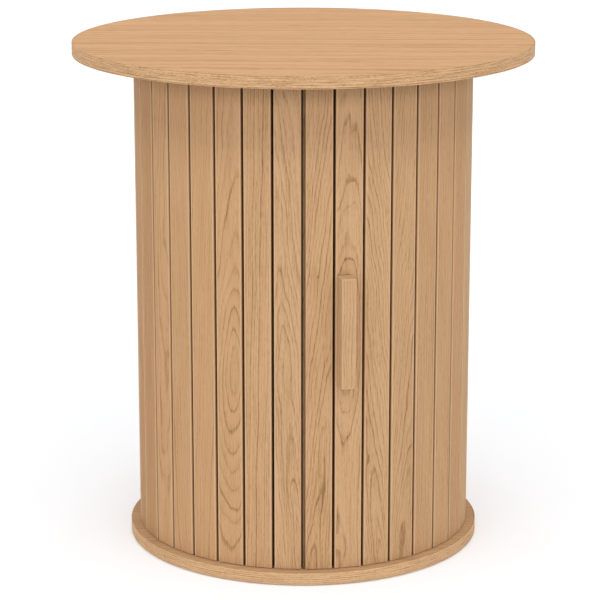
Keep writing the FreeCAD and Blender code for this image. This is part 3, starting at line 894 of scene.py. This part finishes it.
def strip(node, radii, levels, finish, arcs=None, ease=0.5):
    """A strip bent round a board's edge, its two outer corners eased."""
    section = oblong((radii[0], levels[0]), (radii[1], levels[1]), (0, ease, ease, 0))
    if arcs:
        shape = together(*(swept(section, *arc) for arc in arcs))
    else:
        shape = lathe(section, segments=360)
    fit(f"{node}_oak", shape, finish, "cabinet", node)


top_cast, base_cast, inner_cast = (1.6, 1.275, 0.65), (0.0, 1.125, 0.6), (0.3, 1.1, 0.6)
# The top's underside is darkened as painted shade, to deepen the shade on the column just under
# the top.
underside_shading = underside(UNDERSIDE_SHADE_LEVEL)
top_oak = oak("top_veneer", lying(), 3.1, TOP_LOG, top_cast, BOARD_FIBRES, underside_shading)
base_oak = oak("base_veneer", lying(), 9.4, BASE_LOG, base_cast, BOARD_FIBRES)
inner_oak = oak("inside_veneer", lying(90), 14.9, BASE_LOG, inner_cast, BOARD_FIBRES)
top_strip = strip_oak("top_edge_strip", TOP_RADIUS, 21.7, (-0.1, 1.19, 1.9))
base_strip = strip_oak("base_edge_strip", BASE_RADIUS, 33.2, (-0.6, 1.22, 1.4))
shelf_strip = strip_oak("shelf_edge_strip", SHELF_BAND_RADII[1], 38.6, (0.2, 1.05, 1.5))

under, over = TOP_LEVELS
top_profile = [
    (0, under),
    (GROOVE_RADII[0], under),
    (GROOVE_RADII[0], GROOVE_LEVEL),
    (GROOVE_RADII[1], GROOVE_LEVEL),
    (GROOVE_RADII[1], under),
    (TOP_CORE_RADIUS, under),
    (TOP_CORE_RADIUS, over),
    (0, over),
]
top_board = lathe(top_profile, segments=288)
fit("tabletop_oak", top_board, top_oak, "cabinet", "tabletop")
strip("tabletop_edge_band", (TOP_RADIUS - EDGE_BAND, TOP_RADIUS), TOP_LEVELS, top_strip)
strip("base_edge_band", (BASE_RADIUS - EDGE_BAND, BASE_RADIUS), BASE_LEVELS, base_strip)
paint("base_plate", base_oak)
paint("cabinet_floor", inner_oak)
paint("cabinet_ceiling", inner_oak)

handle_place, handle_cast = upright(HANDLE_ANGLE, HANDLE_FACE), (0.0, 1.04, 0.9)
handle_oak = oak("handle_oak", handle_place, 73.3, HANDLE_LOG, handle_cast, (1, 1), handle_painted_light)
handle_outline = oblong(
    (HANDLE_ACROSS - HANDLE_HALF, -HANDLE_FACE),
    (HANDLE_ACROSS + HANDLE_HALF, -SLAT_FACE),
    (1.0, 1.0, 0.1, 0.1),
)
handle_ends = HANDLE_MIDDLE - HANDLE_HALF_LENGTH, HANDLE_MIDDLE + HANDLE_HALF_LENGTH
handle_bar = turned(drawn(handle_outline, *handle_ends, 1.0), HANDLE_ANGLE)
fit("handle_oak_bar", handle_bar, handle_oak, "door", "handle")


# The bent shell, the posts and the shelf

# The shell shows on the plain back third, and its front end and its inside when the door is open.
shell_place = leaved(VENEER_RADIUS, SHELL_LEAVES)
shell_oak = oak("shell_veneer", shell_place, 44.2, SHELL_LOG, (0.2, 1.15, 0.9))
lipping_oak = oak("lipping_oak", bent(VENEER_RADIUS), 52.8, HANDLE_LOG, (2.5, 1.3, 0.8))
inner_foot, outer_head = (SHELL_RADII[0], BASE_LEVELS[1]), (SHELL_RADII[1], TOP_LEVELS[0])
shell_section = oblong(inner_foot, outer_head, (0.2,) * 4, 3)
lipping_section = oblong(inner_foot, outer_head, (0.6,) * 4, 5)
shell_start, shell_end = SHELL_ARC
shell = swept(shell_section, shell_start + LIPPING_ARC, shell_end - LIPPING_ARC)
fit("curved_shell_ply", shell, shell_oak, "cabinet", "curved_shell")
for end, start in (("rear", shell_start), ("front", shell_end - LIPPING_ARC)):
    name = f"shell_{end}_lipping"
    shape = swept(lipping_section, start, start + LIPPING_ARC, 0.2)
    fit(f"{name}_oak", shape, lipping_oak, "cabinet", name)

post_outline = oblong((-POST_HALF, -POST_FACE), (POST_HALF, -POST_BACK), (0.7,) * 4)
post = drawn(post_outline, *POST_LEVELS, 0.2)
for name, angle, seed in (("front_post", FRONT_POST, 61.5), ("rear_post", REAR_POST, 66.1)):
    finish = oak(f"{name}_oak", upright(angle, POST_FACE), seed, POST_LOG, (0.2, 1.0, 1.0))
    fit(f"{name}_oak", turned(post, angle), finish, "cabinet", name)

# The shelf is notched round the posts, and its strip is in two parts.
half_notch = math.degrees(math.asin(NOTCH_HALF / (sum(SHELF_BAND_RADII) / 2)))
shelf_arcs = [
    (FRONT_POST - 360 + half_notch, REAR_POST - half_notch),
    (REAR_POST + half_notch, FRONT_POST - half_notch),
]
outline = []
for start, end in shelf_arcs:
    a = np.radians(np.linspace(start, end, round(end - start)))
    outline.append(SHELF_RADIUS * np.column_stack([np.sin(a), -np.cos(a)]))
    notch = [(-NOTCH_HALF, -NOTCH_BACK, 0), (NOTCH_HALF, -NOTCH_BACK, 0)]
    outline.append(round_the_column(notch, end + half_notch)[:, :2])
shelf = drawn(np.vstack(outline), *SHELF_LEVELS, 0.15, 3)
fit("shelf_oak", shelf, inner_oak, "cabinet", "shelf")
strip("shelf_edge_band", SHELF_BAND_RADII, SHELF_LEVELS, shelf_strip, shelf_arcs, 0.4)


# Small fittings, the backing and the canvas

posts = [place_at(POST_MIDDLE, angle) for angle in (FRONT_POST, REAR_POST)]
tops = [place_at(TOP_SCREW_RADIUS, angle) for angle in TOP_SCREW_ANGLES]
top_screws = [moved(screw(20), x, y, CEILING_UNDER) for x, y in tops]
lower_screws = [moved(screw(45), x, y, BASE_LEVELS[0]) for x, y in posts]
upper_screws = [moved(screw(35), x, y, TOP_LEVELS[0], True) for x, y in posts]
handle_screws = [
    laid(screw(20), HANDLE_ACROSS, SLAT_BACK, level, HANDLE_ANGLE)
    for level in HANDLE_SCREW_LEVELS
]
pins = [
    laid(rod(radius, length, ease=0.5), 0, reach, PIN_LEVEL, angle)
    for (radius, length, reach), angle in (
        (POST_PIN, FRONT_POST),
        (POST_PIN, REAR_POST),
        (SHELL_PIN, SHELL_PIN_ANGLE),
    )
]
zinc_plate = zinc()
for group, body, shapes in (
    ("tabletop_screws", "cabinet", top_screws),
    ("lower_post_screws", "cabinet", lower_screws),
    ("upper_post_screws", "cabinet", upper_screws),
    ("handle_screws", "door", handle_screws),
    ("shelf_pins", "cabinet", pins),
):
    fit(f"{group}_zinc", together(*shapes), zinc_plate, body, group)

stop = rod(radius=2, length=8, ease=0.4)
stops = together(*(moved(stop, x, y, STOP_LEVEL) for x, y in STOP_PLACES))
fit("groove_stops_moulded", stops, moulded(), "cabinet", "groove_stops")
pad = rod(radius=10, length=1, ease=0.3, segments=72)
pads = together(*(moved(pad, x, y, 0) for x in PAD_PLACES for y in PAD_PLACES))
fit("felt_pads_pressed", pads, felted(), "cabinet", "felt_pads")
paint("fixed_backing", dark_board())

# The door's cloth, cut 321.6 by 467.8 mm and stretched flat across the backs of the slats. Its
# UV map is the arc length and the height, in metres.
inner_hem, outer_hem = zip(CANVAS_RADII, CANVAS_LEVELS)
cloth_shape = swept(oblong(inner_hem, outer_hem, (0,) * 4), *CANVAS_ARC, flats=True)
canvas = fit("door_canvas_cloth", cloth_shape, canvas_cloth(), "door", "door_canvas")
cloth_mesh = canvas.data
places = np.empty(len(cloth_mesh.vertices) * 3)
cloth_mesh.vertices.foreach_get("co", places)
corners = np.empty(len(cloth_mesh.loops), int)
cloth_mesh.loops.foreach_get("vertex_index", corners)
x, y, z = places.reshape(-1, 3)[corners].T
arc_length = np.arctan2(x, -y) * sum(CANVAS_RADII) / 2 * MM
cloth_map = cloth_mesh.uv_layers.new(name="cloth").data
cloth_map.foreach_set("uv", np.column_stack([arc_length, z]).ravel())
